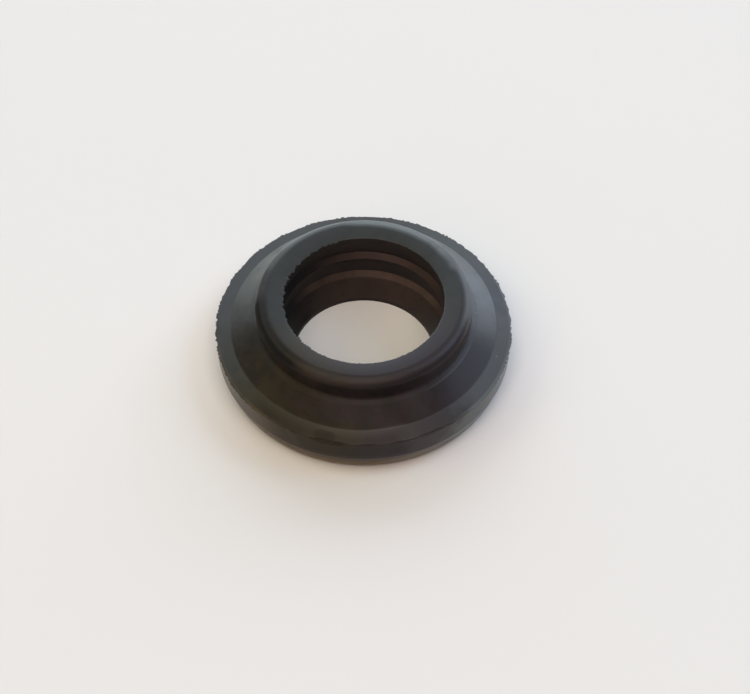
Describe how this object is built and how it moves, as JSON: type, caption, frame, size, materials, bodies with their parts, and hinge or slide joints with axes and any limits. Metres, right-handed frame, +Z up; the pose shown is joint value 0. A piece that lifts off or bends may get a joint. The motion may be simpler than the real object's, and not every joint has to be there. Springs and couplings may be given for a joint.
{
  "type": "hammer drill seal",
  "caption": "One-piece moulded rubber seal ring: broad flange, cone and round-shouldered neck, with wiper ribs and a gripping lip in the bore.",
  "frame": {"origin": "centre of the flat underside of the flange, on the axis of the bore", "axes": "+Z up the axis of the bore, from the flange towards the neck"},
  "size_m": [0.037, 0.037, 0.0111],
  "materials": {
    "rubber": "satin black moulded rubber, matt in the bore, with a faint dusty bloom"
  },
  "bodies": {
    "root": {"seal_ring": "rubber"}
  },
  "joints": []
}
